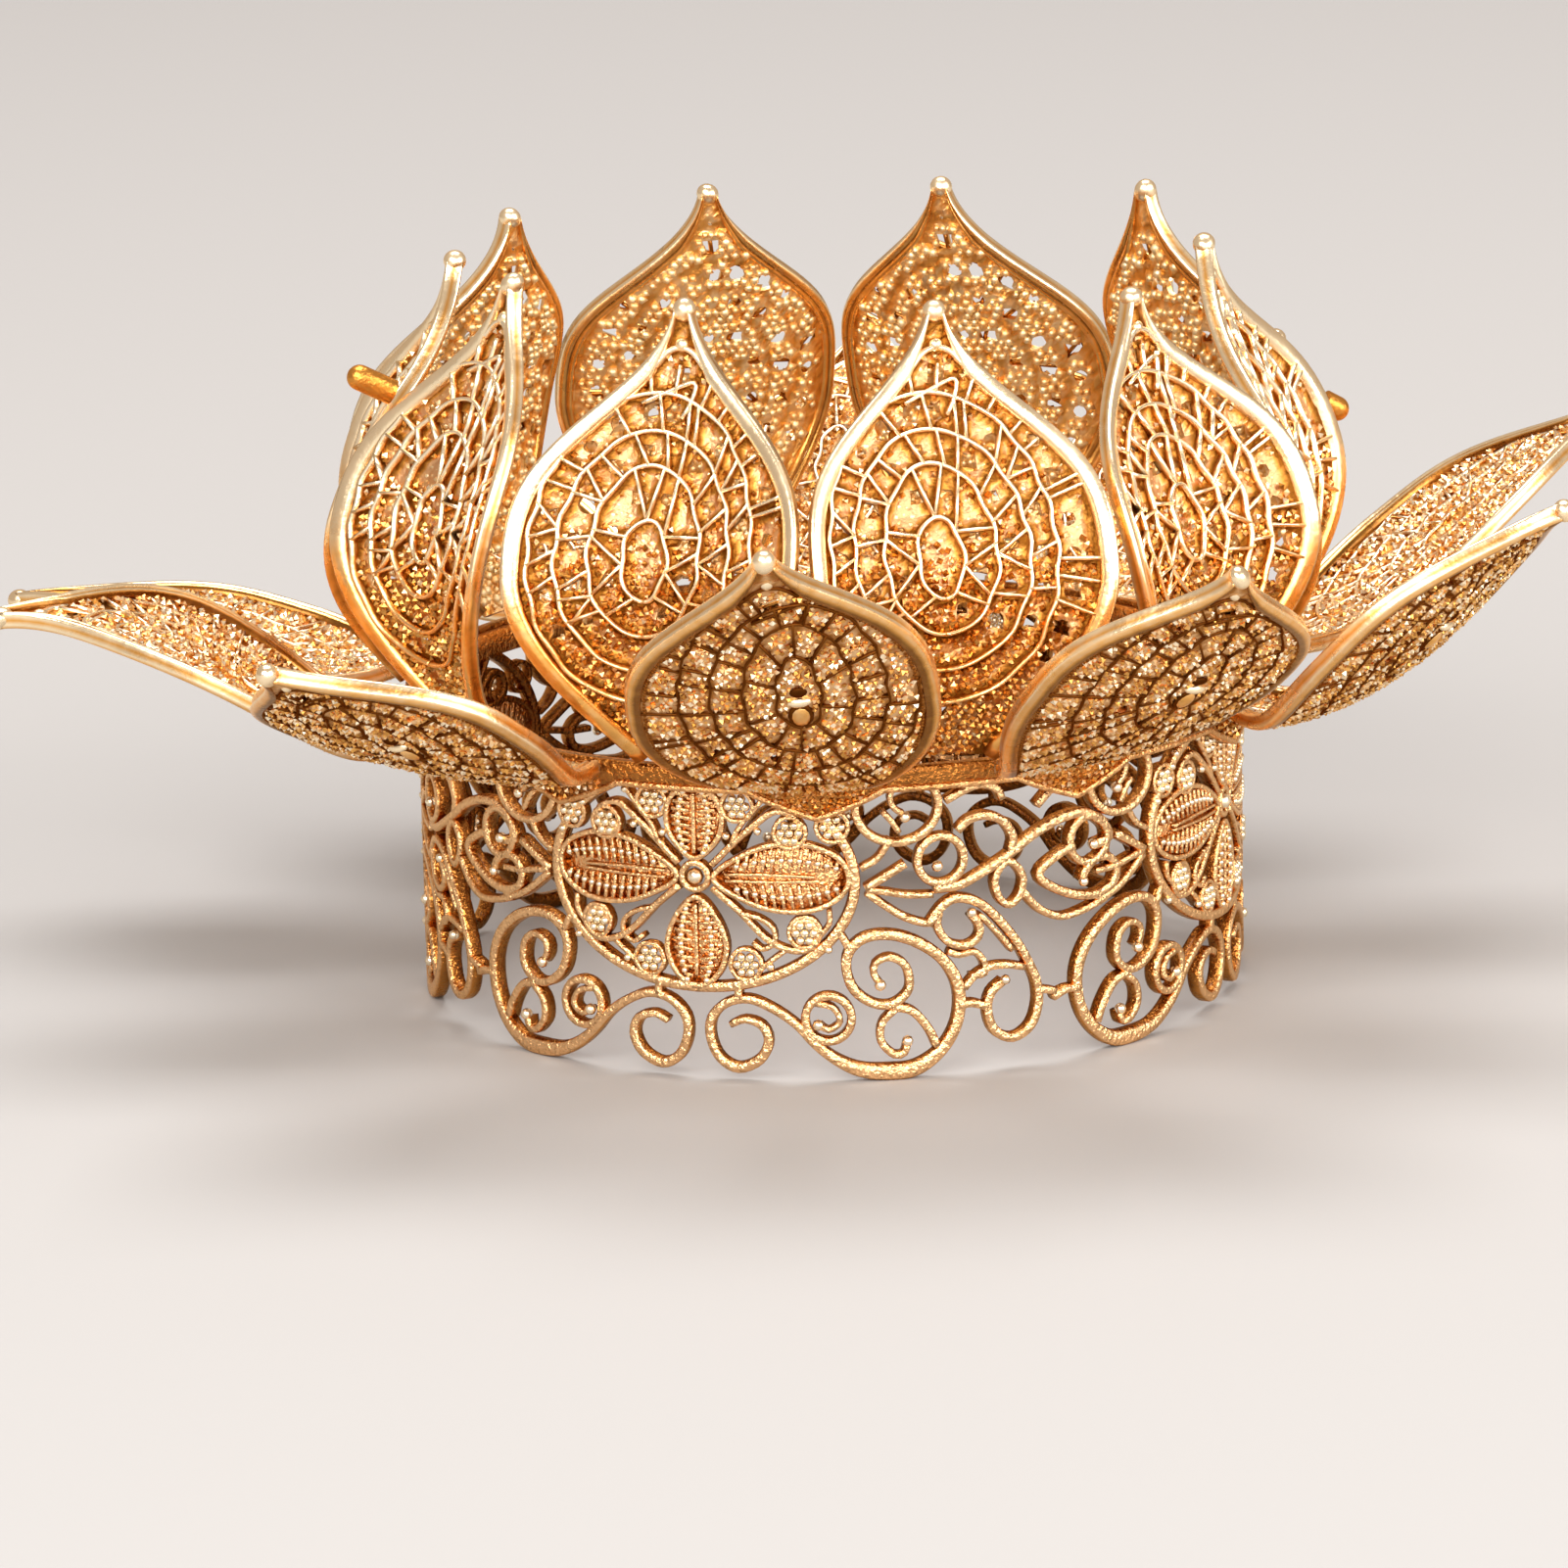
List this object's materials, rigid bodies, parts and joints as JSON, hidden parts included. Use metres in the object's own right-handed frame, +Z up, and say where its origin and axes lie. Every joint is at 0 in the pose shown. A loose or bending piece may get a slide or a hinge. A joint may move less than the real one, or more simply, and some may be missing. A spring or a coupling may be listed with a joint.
{
  "type": "lotus crown",
  "caption": "Small open filigree hair crown: a pierced scroll band, a collar with pointed tails, and two rings of lotus petals, the inner closing in, the outer flared.",
  "frame": {"origin": "on the band's axis, at the level of its lower edge, on which the crown rests", "axes": "+Z up along the band's axis, -Y towards the front outer petal, +X to the right of someone who faces the crown's front"},
  "size_m": [0.1185, 0.1153, 0.0545],
  "materials": {
    "band_gold": "gilt, satin, pierced and scroll-worked",
    "inner_gold": "gilt, bright polished rims and granulated wire work",
    "outer_gold": "gilt, satin rims and granulated wire work"
  },
  "bodies": {
    "root": {"band": "band_gold", "petal_collar": "band_gold", "inner_petal_01": "inner_gold", "inner_petal_02": "inner_gold", "inner_petal_03": "inner_gold", "inner_petal_04": "inner_gold", "inner_petal_05": "inner_gold", "inner_petal_06": "inner_gold", "inner_petal_07": "inner_gold", "inner_petal_08": "inner_gold", "inner_petal_09": "inner_gold", "inner_petal_10": "inner_gold", "outer_petal_01": "outer_gold", "outer_petal_02": "outer_gold", "outer_petal_03": "outer_gold", "outer_petal_04": "outer_gold", "outer_petal_05": "outer_gold", "outer_petal_06": "outer_gold", "outer_petal_07": "outer_gold", "outer_petal_08": "outer_gold", "outer_petal_09": "outer_gold", "outer_petal_10": "outer_gold", "side_peg_left": "band_gold", "side_peg_right": "band_gold"}
  },
  "joints": []
}
